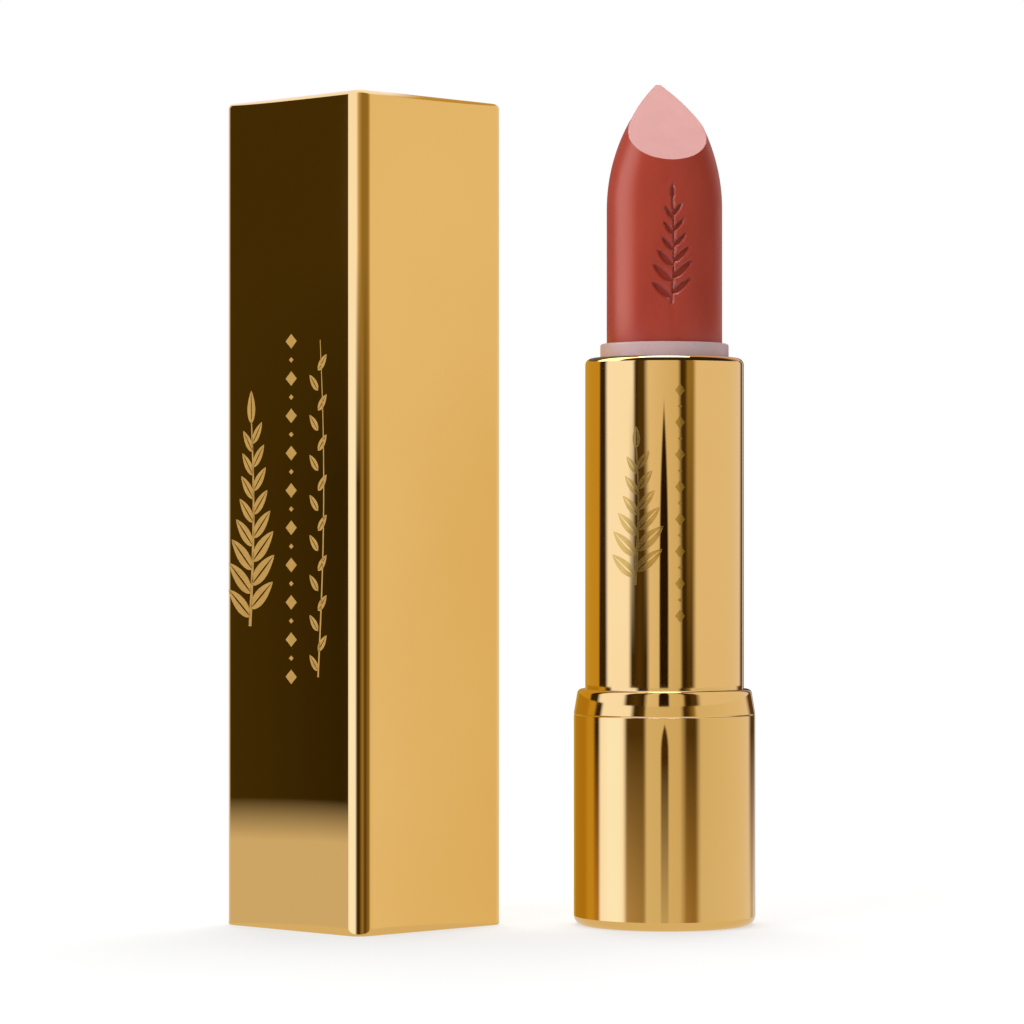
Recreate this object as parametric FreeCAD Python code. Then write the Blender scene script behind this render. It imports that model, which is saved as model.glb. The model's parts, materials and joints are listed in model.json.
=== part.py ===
"""Twist-up lipstick with its full-length square case, in millimetres.

The lipstick stands on the origin, +Z up. The case stands beside it, mouth down, one corner to the front.
Holding the base and turning the gold sleeve turns the cam inside it, whose helical grooves drive the
cup's lugs along the straight slots of the inner tube. The case holds a sprung ejector: pressing the seated
lipstick moves the carriage up until its cam track is caught or freed by the latch pin.
"""
import FreeCAD, Part
import math
import os
from FreeCAD import Vector

# ---- colour stick ----
STICK_RADIUS = 6.05          # the usual 12.1 mm stick
STICK_SHOW = 27.8            # length standing above the neck when fully raised
ARCH_HEIGHT = 13.9           # height over which the stick narrows to its point
ARCH_BLUNT = 0.22            # what the point's rounding takes off that height
FACET_DROP = 9.0             # height of the slanted face
TIP_BACK = 5.2               # the point stands this far behind the axis
STICK_TURN = 5.2             # degrees the slanted face is turned from straight ahead
TIP_SECTIONS = 12            # level sections of the point, closer together near the tip
TIP_CROWDING = 1.3
TIP_POINTS = 24

# ---- cup that carries the stick ----
STICK_FIT = 0.02
CUP_WALL = 0.38
CUP_HEIGHT = 10.0
CUP_FLOOR = 0.8
LUG_RADIUS = 0.8
LUG_UP = 1.6                 # lug centre above the cup's foot
LUG_REACH = 1.05             # how far a lug stands out of the cup

# ---- slotted inner tube ----
SLIDE_GAP = 0.08
TUBE_WALL = 0.50
SLOT_GAP = 0.10
SLOT_END_GAP = 0.30
NECK_WALL = 0.52
NECK_GAP = 0.15              # stick in the neck's bore
NECK_SHOW = 1.5              # neck standing above the sleeve
NECK_LIP = 0.45              # inner ledge below the outer shoulder
NECK_CHAMFER = 0.25
END_GAP = 0.10
BEAD_RADIUS = 0.15           # snap bead round the foot
BEAD_UP = 3.0

# ---- cam with two helical grooves ----
TURN_GAP = 0.07
CAM_WALL = 0.83
GROOVE_DEPTH = 0.50
GROOVE_WIDTH = 2.15          # measured along the axis
LEAD = 20.0
GROOVE_RUN_OUT = 20.0        # degrees past the raised lug
HIDE = 0.7                   # the point's depth below the neck when fully lowered
LUG_ENTRY = 3.9              # lowered lug above the cam's foot
FLANGE_REACH = 0.62
FLANGE_THICK = 1.1

# ---- gold sleeve ----
PRESS_GAP = 0.02
GLUE_GAP = 0.01
SLEEVE_WALL = 0.35
SLEEVE_EDGE = 0.7
SLEEVE_HOLE_GAP = 0.08

# ---- collar and base ----
COLLAR_GAP = 0.12
COLLAR_LAND = 1.08
COLLAR_HEIGHT = 2.7
COLLAR_INSET = 0.35
COLLAR_EDGE = 0.5
BASE_HEIGHT = 22.0
BASE_WALL = 0.45
BASE_EDGE = 1.0
FLANGE_DEPTH = 4.5           # cam's foot below the base's mouth
LABEL_RADIUS = 7.2
LABEL_THICK = 0.12
LABEL_RECESS = 0.15
LABEL_RIM = 0.15             # recess beyond the label's edge
WEIGHT_HEIGHT = 5.5
WEIGHT_GAP = 0.45
CORE_FLOOR = 1.5
CORE_WALL = 0.40
SOCKET_WALL = 0.75
CORE_RIBS = 6
RIB_WIDTH = 0.8
KEY_HEIGHT = 5.0
RING_ROOM = 0.60             # counterbore for the friction ring, beyond the cam's bore

# ---- case ----
CASE_GAP = 0.15              # base in the liner
LINER_WALL = 0.43
SHELL_WALL = 0.40
SHELL_TOP = 0.45
CASE_CORNER = 1.6
CASE_EDGE = 0.35
LINER_SET_BACK = 0.35
CASE_SPACING = 31.5          # between the two upright axes
SNAP_WIDTH = 5.0
SNAP_HEIGHT = 1.6
SNAP_PROUD = 0.33
SNAP_ROOT = 1.0
SNAP_UP = 9.0                # snaps above the housing's foot

# ---- ejector ----
EJECT_TRAVEL = 9.0
OVER_TRAVEL = 1.0
WEB_GAP = 0.2
WEB_THICK = 1.5
BELL_DEPTH = 6.5
BELL_GAP = 0.2
BELL_WALL = 0.7
GRIP_HEIGHT = 2.0
GRIP_UP = 1.5
GRIP_BITE = 0.15             # ring's bore under the sleeve's radius
GRIP_SEAT = 0.20
STEM_WALL = 1.5
BARB_PROUD = 0.6
BARB_HEIGHT = 1.4
FINGER_SLOT = 1.2
FINGER_DEPTH = 8.0
HOUSING_CLEAR = 3.0          # carriage web to the housing at full stroke
HOUSING_LIP = 2.0
HOUSING_CEILING = 1.5
HOUSING_BORE_GAP = 1.0
STEM_ABOVE_LIP = 4.5
TOP_CLEAR = 0.9
SPRING_WIRE = 0.6
SPRING_RADIUS = 3.5          # to the middle of the wire
SPRING_TURNS = 10
SPRING_GAP = 0.30
POST_LENGTH = 8.0

# ---- latch pin: a bent wire whose tip rides in the carriage's track ----
PIN_RADIUS = 0.4
PIN_LENGTH = 10.0
PIN_TIP_UP = 2.0             # tip above the housing's lip
PIN_SHANK_OUT = 0.8          # shank's centre outside the housing's bore
PIN_HOLE_DEPTH = 2.2
PIN_SWING = 7.0              # degrees
TRACK_GAP = 0.22
TRACK_DEPTH = 0.9
CHANNEL_HALF = 2.3
CHANNEL_MARGIN = 0.5
CLIP_THICK = 0.15
CLIP_WIDTH = 3.4
CLIP_LENGTH = 5.6
CLIP_FOOT = 0.6
CLIP_BOW = 0.7               # how far the leaf's middle stands off the wall
CLIP_UP = 4.5                # leaf's middle above the pin's tip

# ---- radii, worked outwards from the stick ----
cup_bore = STICK_RADIUS + STICK_FIT
cup_radius = cup_bore + CUP_WALL
tube_bore = cup_radius + SLIDE_GAP
tube_radius = tube_bore + TUBE_WALL
neck_bore = STICK_RADIUS + NECK_GAP
neck_radius = neck_bore + NECK_WALL
cam_bore = tube_radius + TURN_GAP
cam_radius = cam_bore + CAM_WALL
flange_radius = cam_radius + FLANGE_REACH
sleeve_bore = cam_radius + PRESS_GAP
sleeve_radius = sleeve_bore + SLEEVE_WALL
collar_bore = sleeve_radius + COLLAR_GAP
base_radius = collar_bore + COLLAR_LAND
base_bore = base_radius - BASE_WALL
core_radius = base_bore - PRESS_GAP

# ---- heights, worked upwards from the foot ----
weight_foot = BASE_WALL + PRESS_GAP
core_foot = weight_foot + WEIGHT_HEIGHT
tube_foot = core_foot + CORE_FLOOR
flange_foot = BASE_HEIGHT - FLANGE_DEPTH
flange_top = flange_foot + FLANGE_THICK
stroke = STICK_SHOW + HIDE
lug_low = flange_foot + LUG_ENTRY
lug_high = lug_low + stroke
cup_foot = lug_high - LUG_UP
cup_top = cup_foot + CUP_HEIGHT
ledge = cup_top + END_GAP
tube_shoulder = ledge + NECK_LIP
sleeve_underside = tube_shoulder + END_GAP
sleeve_top = sleeve_underside + SLEEVE_WALL
neck_top = sleeve_top + NECK_SHOW
stick_foot = cup_foot + CUP_FLOOR
stick_tip = neck_top + STICK_SHOW
collar_top = BASE_HEIGHT + COLLAR_HEIGHT

# ---- case, worked outwards from the base and upwards from the lowered lipstick ----
liner_half = base_radius + CASE_GAP
liner_outer = liner_half + LINER_WALL
shell_half = liner_outer + PRESS_GAP
case_half = shell_half + SHELL_WALL
web_foot = neck_top + WEB_GAP - EJECT_TRAVEL
web_top = web_foot + WEB_THICK
full_travel = EJECT_TRAVEL + OVER_TRAVEL
housing_foot = web_top + full_travel + HOUSING_CLEAR
lip_top = housing_foot + HOUSING_LIP
stem_top = lip_top + STEM_ABOVE_LIP
ceiling = stem_top + full_travel + TOP_CLEAR
housing_top = ceiling + HOUSING_CEILING
shell_ceiling = housing_top + END_GAP
case_height = shell_ceiling + SHELL_TOP
bell_radius = liner_half - BELL_GAP
bell_bore = bell_radius - BELL_WALL
stem_bore = SPRING_RADIUS + SPRING_WIRE / 2 + SPRING_GAP
stem_radius = stem_bore + STEM_WALL
housing_bore = stem_radius + HOUSING_BORE_GAP
pin_tip_height = lip_top + PIN_TIP_UP
pin_pivot_height = pin_tip_height + PIN_LENGTH
shank_out = housing_bore + PIN_SHANK_OUT
channel_back = shank_out + PIN_RADIUS + CLIP_BOW + PRESS_GAP

X, Y, Z = Vector(1, 0, 0), Vector(0, 1, 0), Vector(0, 0, 1)
case_axis = Vector(-CASE_SPACING, 0, 0)


def cylinder(radius, low, high, at=Vector()):
    return Part.makeCylinder(radius, high - low, at + Z * low)


def ring(outer, inner, low, high, at=Vector()):
    return cylinder(outer, low, high, at).cut(cylinder(inner, low - 1, high + 1, at))


def turned(points):
    """A solid of revolution about Z from an outline of (radius, height) points."""
    corners = [Vector(r, 0, z) for r, z in points]
    return Part.Face(Part.makePolygon(corners + corners[:1])).revolve(Vector(), Z, 360)


def swept(path, profile):
    """A solid that follows the path with the profile square to it."""
    sweep = Part.BRepOffsetAPI.MakePipeShell(Part.Wire(path.Edges))
    sweep.setFrenetMode(True)
    sweep.add(profile)
    sweep.build()
    sweep.makeSolid()
    return sweep.shape()


def edges_at(shape, radius, height):
    """The circular edges of that radius at that height."""
    return [
        e for e in shape.Edges
        if isinstance(e.Curve, Part.Circle)
        and abs(e.Curve.Radius - radius) < 1e-3 and abs(e.Curve.Center.z - height) < 1e-3
    ]


def block(width, depth, low, high, x=0.0, y=0.0, at=Vector()):
    corner = at + Vector(x - width / 2, y - depth / 2, low)
    return Part.makeBox(width, depth, high - low, corner)


def square_bar(half, corner, low, high):
    """An upright square bar with round corners, standing corner to the front on the case's axis."""
    bar = block(2 * half, 2 * half, low, high)
    uprights = [e for e in bar.Edges if abs(e.Vertexes[0].Z - e.Vertexes[-1].Z) > 1e-6]
    bar = bar.makeFillet(corner, uprights)
    bar.rotate(Vector(), Z, 45)
    bar.translate(case_axis)
    return bar


def arch_half_width(below_tip):
    """Half width of the pointed arch, this far below the tip."""
    arc = (STICK_RADIUS ** 2 + ARCH_HEIGHT ** 2) / (2 * STICK_RADIUS)
    rise = ARCH_HEIGHT - ARCH_BLUNT - below_tip
    return math.sqrt(arc ** 2 - rise ** 2) - (arc - STICK_RADIUS)


def facet_depth(below_tip):
    """Y of the slanted face, this far below the tip."""
    return TIP_BACK - (TIP_BACK + STICK_RADIUS) * below_tip / FACET_DROP


def stick_section(below_tip):
    """One level oval of the point: full depth, and just wide enough that the cut stick shows the arch."""
    half_width = arch_half_width(below_tip)
    cut = max(0.0, facet_depth(below_tip)) / STICK_RADIUS
    half_width = half_width / math.sqrt(1 - cut ** 2)
    points = []
    for i in range(TIP_POINTS):
        turn = 2 * math.pi * i / TIP_POINTS
        x, y = half_width * math.cos(turn), STICK_RADIUS * math.sin(turn)
        points.append(Vector(x, y, stick_tip - below_tip))
    curve = Part.BSplineCurve()
    curve.interpolate(Points=points, PeriodicFlag=True)
    return Part.Wire(curve.toShape())


def colour_stick():
    shoulder = ARCH_HEIGHT - ARCH_BLUNT
    levels = [shoulder * (i / (TIP_SECTIONS - 1)) ** TIP_CROWDING for i in range(TIP_SECTIONS)]
    point = Part.makeLoft([stick_section(h) for h in reversed(levels)], True, False)
    slope = FACET_DROP / (TIP_BACK + STICK_RADIUS)
    reach = 2 * STICK_RADIUS
    face = [
        Vector(-reach, -reach, stick_tip - slope * (reach + TIP_BACK)),
        Vector(-reach, reach, stick_tip + slope * (reach - TIP_BACK)),
        Vector(-reach, reach, stick_tip + 2 * reach),
        Vector(-reach, -reach, stick_tip + 2 * reach),
    ]
    above = Part.Face(Part.makePolygon(face + face[:1])).extrude(X * 2 * reach)
    point = point.cut(above)
    height = stick_tip - shoulder - stick_foot
    stem = Part.Face(stick_section(shoulder)).extrude(Z * -height)
    stick = stem.fuse(point)
    stick.rotate(Vector(), Z, STICK_TURN)
    return stick


def stick_cup():
    cup = cylinder(cup_radius, cup_foot, cup_top)
    cup = cup.cut(cylinder(cup_bore, cup_foot + CUP_FLOOR, cup_top + 1))
    for side in (X, -X):
        start = side * (cup_radius - CUP_WALL / 2) + Z * lug_high
        cup = cup.fuse(Part.makeCylinder(LUG_RADIUS, CUP_WALL / 2 + LUG_REACH, start, side))
    inside = cylinder(cup_bore, cup_foot + CUP_FLOOR, cup_top + 1)
    return cup.cut(inside).removeSplitter()


def inner_tube():
    outline = [
        (tube_bore, tube_foot), (tube_radius, tube_foot), (tube_radius, tube_shoulder),
        (neck_radius, tube_shoulder), (neck_radius, neck_top - NECK_CHAMFER),
        (neck_radius - NECK_CHAMFER, neck_top), (neck_bore, neck_top), (neck_bore, ledge), (tube_bore, ledge),
    ]
    tube = turned(outline)
    bead = Part.makeTorus(tube_radius, BEAD_RADIUS, Z * (tube_foot + BEAD_UP))
    tube = tube.fuse(bead)
    slot_half = LUG_RADIUS + SLOT_GAP
    slot_top = lug_high + LUG_RADIUS + SLOT_END_GAP
    slot = block(4 * tube_radius, 2 * slot_half, tube_foot - 1, slot_top)
    return tube.cut(slot).removeSplitter()


def groove_cutter(start_angle):
    """One helical groove, open at the cam's foot and ending a little past the raised lug."""
    mean = cam_bore + GROOVE_DEPTH / 2
    low = flange_foot - GROOVE_WIDTH
    high = lug_high + LEAD * GROOVE_RUN_OUT / 360
    helix = Part.makeHelix(LEAD, high - low, mean)
    half = GROOVE_WIDTH / 2
    inner, outer = cam_bore - TURN_GAP / 2, cam_bore + GROOVE_DEPTH
    outline = [(inner, -half), (outer, -half), (outer, half), (inner, half)]
    corners = [Vector(r, 0, z) for r, z in outline]
    groove = swept(helix, Part.makePolygon(corners + corners[:1]))
    groove.translate(Z * low)
    groove.rotate(Vector(), Z, start_angle - 360 * (lug_high - low) / LEAD)
    return groove


def cam_sleeve():
    cam_top = sleeve_underside - PRESS_GAP
    cam = turned([
        (cam_bore, flange_foot), (flange_radius, flange_foot), (flange_radius, flange_top),
        (cam_radius, flange_top), (cam_radius, cam_top), (cam_bore, cam_top),
    ])
    # its top edge is rounded to sit inside the sleeve's drawn corner
    cam = cam.makeFillet(SLEEVE_EDGE - SLEEVE_WALL, edges_at(cam, cam_radius, cam_top))
    cam = cam.cut(cylinder(cam_bore + RING_ROOM, flange_foot - 1, flange_top))
    for start in (0, 180):
        cam = cam.cut(groove_cutter(start))
    return cam


def gold_sleeve():
    sleeve = cylinder(sleeve_radius, flange_top, sleeve_top)
    sleeve = sleeve.makeFillet(SLEEVE_EDGE, edges_at(sleeve, sleeve_radius, sleeve_top))
    inside = cylinder(sleeve_bore, flange_top - 1, sleeve_underside)
    inside = inside.makeFillet(SLEEVE_EDGE - SLEEVE_WALL, edges_at(inside, sleeve_bore, sleeve_underside))
    hole = cylinder(neck_radius + SLEEVE_HOLE_GAP, sleeve_underside - 1, sleeve_top + 1)
    return sleeve.cut(inside).cut(hole)


def collar():
    skirt = core_radius
    band = turned([
        (collar_bore, flange_top + END_GAP), (skirt, flange_top + END_GAP), (skirt, BASE_HEIGHT),
        (base_radius, BASE_HEIGHT), (base_radius - COLLAR_INSET, collar_top), (collar_bore, collar_top),
    ])
    return band.makeFillet(COLLAR_EDGE, edges_at(band, base_radius - COLLAR_INSET, collar_top))


def base_shell():
    shell = cylinder(base_radius, 0, BASE_HEIGHT)
    shell = shell.makeFillet(BASE_EDGE, edges_at(shell, base_radius, 0))
    inside = cylinder(base_bore, BASE_WALL, BASE_HEIGHT + 1)
    inside = inside.makeFillet(BASE_EDGE - BASE_WALL, edges_at(inside, base_bore, BASE_WALL))
    return shell.cut(inside).cut(cylinder(LABEL_RADIUS + LABEL_RIM, -1, LABEL_RECESS))


def shade_label():
    top = LABEL_RECESS - GLUE_GAP
    return cylinder(LABEL_RADIUS, top - LABEL_THICK, top)


def base_weight():
    weight = cylinder(base_bore - WEIGHT_GAP, weight_foot, core_foot)
    both = edges_at(weight, base_bore - WEIGHT_GAP, weight_foot)
    both += edges_at(weight, base_bore - WEIGHT_GAP, core_foot)
    return weight.makeChamfer(BASE_EDGE / 3, both)


def base_core():
    socket_bore = tube_radius + PRESS_GAP
    socket_radius = socket_bore + SOCKET_WALL
    socket_top = flange_foot - END_GAP
    rim_bore = core_radius - CORE_WALL
    core = cylinder(core_radius, core_foot, tube_foot)
    core = core.fuse(ring(core_radius, rim_bore, core_foot, flange_top))
    core = core.fuse(ring(socket_radius, socket_bore, core_foot, socket_top))
    webs = ring(core_radius - CORE_WALL / 2, socket_bore, core_foot, socket_top)
    spokes = [block(2 * core_radius, RIB_WIDTH, core_foot, socket_top) for _ in range(CORE_RIBS // 2)]
    for i, spoke in enumerate(spokes):
        spoke.rotate(Vector(), Z, 360 / CORE_RIBS * (i + 0.5))
        core = core.fuse(webs.common(spoke))
    key = block(2 * socket_radius, 2 * LUG_RADIUS, tube_foot, tube_foot + KEY_HEIGHT)
    core = core.fuse(key.common(ring(socket_bore + PRESS_GAP, tube_bore, tube_foot, tube_foot + KEY_HEIGHT)))
    bead_room = Part.makeTorus(tube_radius, BEAD_RADIUS + PRESS_GAP, Z * (tube_foot + BEAD_UP))
    return core.cut(bead_room).removeSplitter()


def friction_ring():
    """A soft ring stretched over the tube; it rubs in the cam's counterbore."""
    inner = tube_radius + PRESS_GAP
    outer = cam_bore + RING_ROOM - TURN_GAP
    low, high = flange_foot, flange_top - END_GAP
    edge = (outer - inner) / 3
    band = ring(outer, inner, low, high)
    return band.makeFillet(edge, edges_at(band, outer, low) + edges_at(band, outer, high))


def case_shell():
    shell = square_bar(case_half, CASE_CORNER, 0, case_height)
    shell = shell.makeFillet(CASE_EDGE, [e for e in shell.Edges if abs(e.BoundBox.ZMin - case_height) < 1e-3])
    return shell.cut(square_bar(shell_half, CASE_CORNER - SHELL_WALL, -1, shell_ceiling))


def snaps(half, proud, gap):
    """Two blocks on opposite walls where the housing clicks into the liner, with that gap all round."""
    low = housing_foot + SNAP_UP
    thick = proud + SNAP_ROOT
    made = []
    for side in (1, -1):
        middle = side * (half + proud - thick / 2)
        made.append(block(thick, SNAP_WIDTH + 2 * gap, low - gap, low + SNAP_HEIGHT + gap, x=middle))
    both = Part.makeCompound(made)
    both.rotate(Vector(), Z, 45)
    both.translate(case_axis)
    return both


def case_liner():
    inner_corner = CASE_CORNER - SHELL_WALL - LINER_WALL
    liner = square_bar(liner_outer, CASE_CORNER - SHELL_WALL, LINER_SET_BACK, housing_top)
    liner = liner.cut(square_bar(liner_half, inner_corner, LINER_SET_BACK - 1, housing_top + 1))
    return liner.cut(snaps(liner_half, LINER_WALL + SNAP_PROUD, END_GAP))


def housing():
    inner_corner = CASE_CORNER - SHELL_WALL - LINER_WALL
    half = liner_half - PRESS_GAP
    body = square_bar(half, inner_corner, housing_foot, ceiling)
    body = body.fuse(snaps(half, SNAP_PROUD, 0).Solids)
    body = body.cut(cylinder(housing_bore, lip_top, ceiling + 1, case_axis))
    body = body.cut(cylinder(stem_radius + WEB_GAP, housing_foot - 1, lip_top + 1, case_axis))
    # the channel in which the latch pin swings, towards the front corner and open at the top
    near = stem_radius
    low = pin_tip_height - PIN_RADIUS - CHANNEL_MARGIN
    channel = block(
        2 * CHANNEL_HALF, channel_back - near, low, ceiling + 1,
        y=-(near + channel_back) / 2, at=case_axis,
    )
    body = body.cut(channel)
    eye = case_axis - Y * (channel_back - 0.5) + Z * pin_pivot_height
    return body.cut(Part.makeCylinder(PIN_RADIUS + TURN_GAP, PIN_HOLE_DEPTH + 0.5, eye, -Y)).removeSplitter()


def housing_cap():
    """Closes the housing; its post keeps the spring upright and a tongue closes the pin's channel."""
    inner_corner = CASE_CORNER - SHELL_WALL - LINER_WALL
    half = liner_half - PRESS_GAP
    cap = square_bar(half, inner_corner, ceiling + PRESS_GAP, housing_top)
    cap = cap.fuse(cylinder(SPRING_RADIUS - SPRING_WIRE, ceiling - POST_LENGTH, housing_top, case_axis))
    tongue_foot = pin_pivot_height + PIN_RADIUS + CHANNEL_MARGIN
    near = housing_bore + PRESS_GAP
    far = channel_back - PRESS_GAP
    tongue = block(
        2 * (CHANNEL_HALF - PRESS_GAP), far - near, tongue_foot, housing_top,
        y=-(near + far) / 2, at=case_axis,
    )
    return cap.fuse(tongue).removeSplitter()


def pin_clip():
    """A bowed leaf on the channel's back wall; its middle presses on the pin's shank."""
    wall = channel_back - PRESS_GAP
    touch = shank_out + PIN_RADIUS + PRESS_GAP
    middle = pin_tip_height + CLIP_UP
    end, bend = CLIP_LENGTH / 2, CLIP_LENGTH / 2 - CLIP_FOOT
    inner = wall - CLIP_THICK
    outline = [
        (wall, middle - end), (wall, middle - bend), (touch + CLIP_THICK, middle),
        (wall, middle + bend), (wall, middle + end), (inner, middle + end),
        (inner, middle + bend), (touch, middle), (inner, middle - bend), (inner, middle - end),
    ]
    corners = [Vector(-CLIP_WIDTH / 2, -y, z) for y, z in outline]
    leaf = Part.Face(Part.makePolygon(corners + corners[:1])).extrude(X * CLIP_WIDTH)
    leaf.translate(case_axis)
    return leaf


def track_leg(side):
    """One leg of the heart-shaped track: the straight line the pin's tip draws on the rising carriage."""
    swing = math.sin(math.radians(PIN_SWING)) * PIN_LENGTH
    rise = (1 - math.cos(math.radians(PIN_SWING))) * PIN_LENGTH
    top = Vector(0, 0, pin_tip_height)
    foot = Vector(side * swing, 0, pin_tip_height - full_travel + rise)
    half = PIN_RADIUS + TRACK_GAP
    along = (foot - top).normalize()
    across = Vector(along.z, 0, -along.x) * half
    corners = [top + across, foot + across, foot - across, top - across]
    leg = Part.Face(Part.makePolygon(corners + corners[:1])).extrude(-Y * stem_radius)
    for end in (top, foot):
        leg = leg.fuse(Part.makeCylinder(half, stem_radius, end, -Y))
    return leg


def track():
    """The whole track: two legs from the pin's rest, joined under the notch that holds the pin."""
    half = PIN_RADIUS + TRACK_GAP
    swing = math.sin(math.radians(PIN_SWING)) * PIN_LENGTH
    foot = pin_tip_height - full_travel
    cut = track_leg(1).fuse(track_leg(-1))
    cut = cut.fuse(block(2 * swing, stem_radius, foot - half, foot + half, y=-stem_radius / 2))
    notch = Part.makeCylinder(half, stem_radius, Z * (foot + OVER_TRAVEL), -Y)
    cut = cut.fuse(notch).fuse(block(2 * half, stem_radius, foot, foot + OVER_TRAVEL, y=-stem_radius / 2))
    cut.translate(case_axis)
    return cut.cut(cylinder(stem_radius - TRACK_DEPTH, foot - 5, stem_top + 5, case_axis))


def carriage():
    bell_foot = web_foot - BELL_DEPTH
    grip_low = bell_foot + GRIP_UP
    body = cylinder(bell_radius, bell_foot, web_top, case_axis)
    body = body.cut(cylinder(bell_bore, bell_foot - 1, web_foot, case_axis))
    body = body.cut(ring(bell_bore + GRIP_SEAT, bell_bore - 1, grip_low, grip_low + GRIP_HEIGHT, case_axis))
    body = body.fuse(cylinder(stem_radius, web_foot + WEB_THICK / 2, stem_top, case_axis))
    barb_foot = lip_top + END_GAP
    barb_top = barb_foot + BARB_HEIGHT
    barbs = ring(stem_radius + BARB_PROUD, stem_radius - STEM_WALL / 2, barb_foot, barb_top, case_axis)
    both_sides = block(4 * stem_radius, stem_radius, barb_foot - 1, stem_top + 1, at=case_axis)
    body = body.fuse(barbs.common(both_sides))
    body = body.cut(cylinder(stem_bore, web_top, stem_top + 1, case_axis))
    slit = block(4 * stem_radius, FINGER_SLOT, stem_top - FINGER_DEPTH, stem_top + 1)
    for turn in (45, 135):
        cut = slit.copy()
        cut.rotate(Vector(), Z, turn)
        cut.translate(case_axis)
        body = body.cut(cut)
    return body.cut(track()).removeSplitter()


def grip_ring():
    low = web_foot - BELL_DEPTH + GRIP_UP
    outer = bell_bore + GRIP_SEAT - PRESS_GAP
    inner = sleeve_radius - GRIP_BITE
    return ring(outer, inner, low + PRESS_GAP, low + GRIP_HEIGHT - PRESS_GAP, case_axis)


def spring():
    low = web_top + SPRING_WIRE / 2 + PRESS_GAP
    high = ceiling - SPRING_WIRE / 2 - PRESS_GAP
    length = high - low
    helix = Part.makeHelix(length / SPRING_TURNS, length, SPRING_RADIUS)
    circle = Part.Wire(Part.Circle(Vector(SPRING_RADIUS, 0, 0), Y, SPRING_WIRE / 2).toShape())
    coil = swept(helix, circle)
    coil.translate(case_axis + Z * low)
    return coil


def latch_pin():
    """Tip inwards at the foot, upright shank, and the upper end bent out into the housing's eye."""
    tip = case_axis - Y * (stem_radius - TRACK_DEPTH + TRACK_GAP) + Z * pin_tip_height
    elbow = case_axis - Y * shank_out + Z * pin_tip_height
    crook = case_axis - Y * shank_out + Z * pin_pivot_height
    wire = Part.makeCylinder(PIN_RADIUS, (elbow - tip).Length, tip, -Y)
    wire = wire.fuse(Part.makeCylinder(PIN_RADIUS, PIN_LENGTH, elbow, Z))
    wire = wire.fuse(Part.makeCylinder(PIN_RADIUS, channel_back - shank_out + PIN_HOLE_DEPTH, crook, -Y))
    for bend in (elbow, crook):
        wire = wire.fuse(Part.makeSphere(PIN_RADIUS, bend))
    return wire.removeSplitter()


PARTS = {
    "color_bullet": colour_stick,
    "bullet_cup": stick_cup,
    "slotted_inner_tube": inner_tube,
    "cam_sleeve": cam_sleeve,
    "outer_sleeve": gold_sleeve,
    "shoulder_collar": collar,
    "base_shell": base_shell,
    "base_weight": base_weight,
    "shade_label": shade_label,
    "base_core": base_core,
    "friction_ring": friction_ring,
    "case_shell": case_shell,
    "case_liner": case_liner,
    "latch_housing": housing,
    "housing_cap": housing_cap,
    "ejector_carriage": carriage,
    "grip_ring": grip_ring,
    "ejector_spring": spring,
    "latch_pin": latch_pin,
    "pin_clip": pin_clip,
}

if __name__ == "__main__":
    os.makedirs("parts", exist_ok=True)
    for name, make in PARTS.items():
        solid = make()
        print(name, "solids", len(solid.Solids), "valid", solid.isValid(), "volume", round(solid.Volume, 2))
        solid.exportStep(f"parts/{name}.step")
    print("lowering turns the sleeve", round(360 * stroke / LEAD, 2), "degrees")
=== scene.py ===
"""The looks of a twist-up lipstick in a gold tube and its square full-length gold case.

The sections follow the object as it is put together: base, inner tube, cup and stick, cam and sleeve,
collar, then the case with its ejector, and last the studio that it stands in. Lengths are in metres.
"""

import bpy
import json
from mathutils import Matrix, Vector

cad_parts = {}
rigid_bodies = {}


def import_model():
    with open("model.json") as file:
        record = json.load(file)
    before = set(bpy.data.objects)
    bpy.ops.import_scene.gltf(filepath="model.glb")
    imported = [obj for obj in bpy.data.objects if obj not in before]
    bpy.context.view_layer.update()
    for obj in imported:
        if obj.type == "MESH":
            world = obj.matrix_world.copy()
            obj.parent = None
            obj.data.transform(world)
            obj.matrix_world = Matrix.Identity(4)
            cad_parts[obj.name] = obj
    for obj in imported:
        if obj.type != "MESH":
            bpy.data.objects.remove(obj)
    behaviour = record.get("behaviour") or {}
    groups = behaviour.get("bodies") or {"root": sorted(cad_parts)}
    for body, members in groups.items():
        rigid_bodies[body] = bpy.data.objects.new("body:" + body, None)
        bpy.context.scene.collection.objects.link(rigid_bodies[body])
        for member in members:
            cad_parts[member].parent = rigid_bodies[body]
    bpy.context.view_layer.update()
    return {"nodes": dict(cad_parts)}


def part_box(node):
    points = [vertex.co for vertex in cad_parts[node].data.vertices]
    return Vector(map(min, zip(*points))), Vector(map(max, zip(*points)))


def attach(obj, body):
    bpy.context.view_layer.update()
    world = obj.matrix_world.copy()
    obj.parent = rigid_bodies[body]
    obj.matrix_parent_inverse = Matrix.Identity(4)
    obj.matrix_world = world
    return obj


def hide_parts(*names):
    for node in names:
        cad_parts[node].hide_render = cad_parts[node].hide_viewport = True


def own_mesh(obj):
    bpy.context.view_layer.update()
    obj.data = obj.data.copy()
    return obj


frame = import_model()

import json
import math

import bpy
from mathutils import Matrix, Vector

MM = 0.001
nodes = frame["nodes"]

# Base shell: a deep-drawn aluminium cup, polished, anodised gold and clear-coated.
# Its foot is rolled round, its mouth's fine broken edge makes the thin joint line under the collar, and a
# shallow recess in its foot takes the shade label.


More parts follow.
